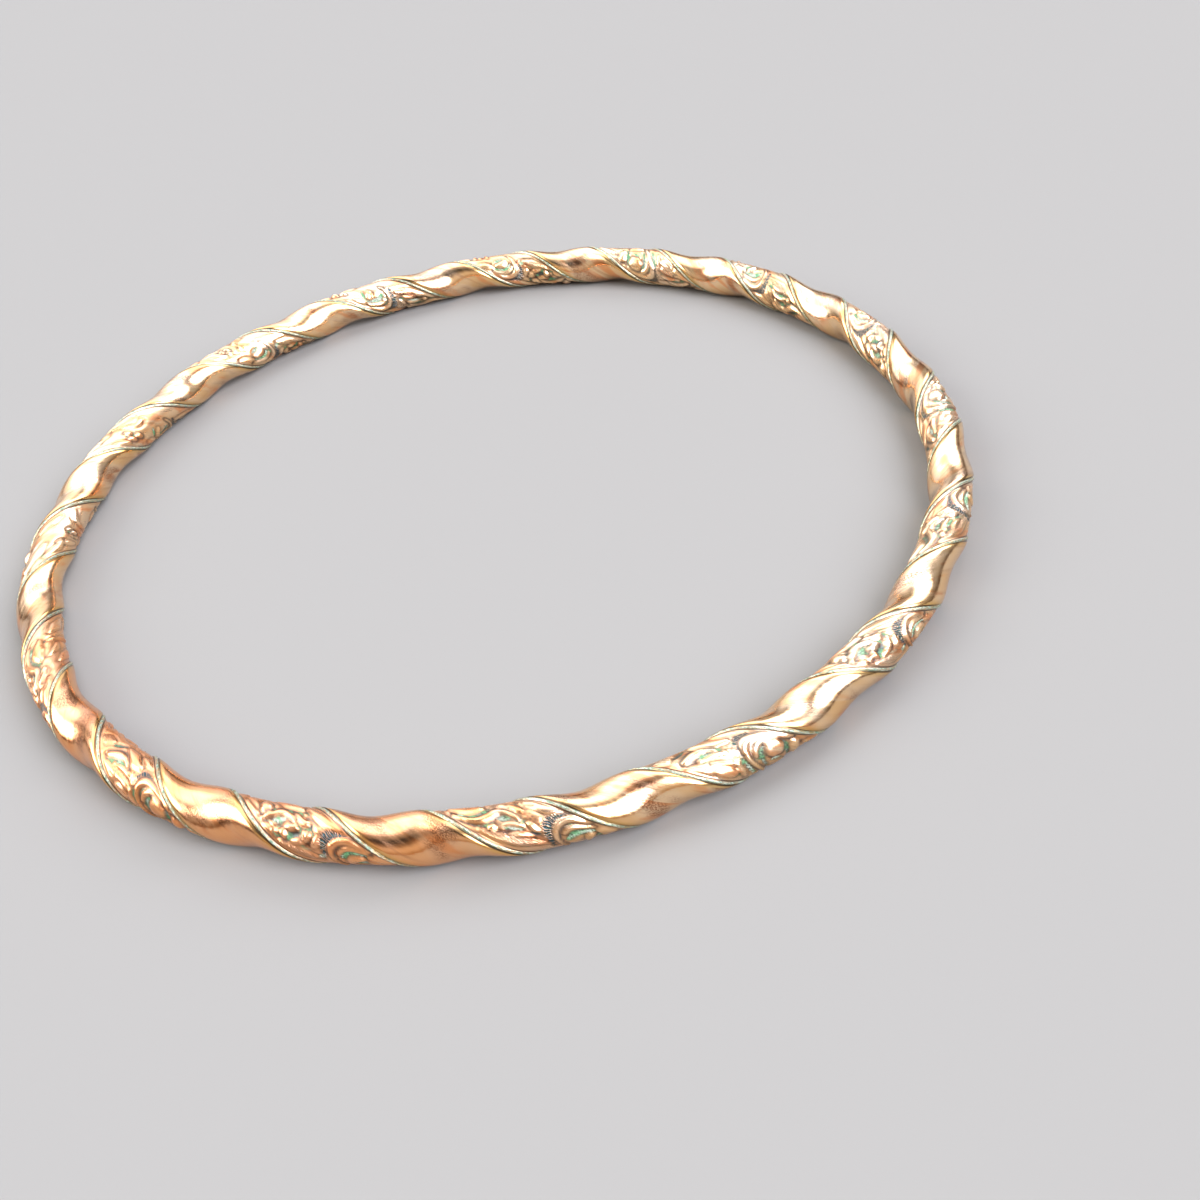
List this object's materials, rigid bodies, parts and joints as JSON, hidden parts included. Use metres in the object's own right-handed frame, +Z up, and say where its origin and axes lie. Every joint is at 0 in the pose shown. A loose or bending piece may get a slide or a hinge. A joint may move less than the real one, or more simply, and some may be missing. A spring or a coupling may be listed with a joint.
{
  "type": "twisted wire bangle",
  "caption": "Closed round bangle of rounded pattern wire, twisted along its length, with raised leaves and scrolls on one face and a plain polished back.",
  "frame": {"origin": "centre of the ring, on the surface that it lies on", "axes": "+Z up, along the ring's own axis"},
  "size_m": [0.0722, 0.0724, 0.0033],
  "materials": {
    "copper_alloy": "polished, with green and grey tarnish in the pattern's recesses"
  },
  "bodies": {
    "root": {"twisted_band": "copper_alloy"}
  },
  "joints": []
}
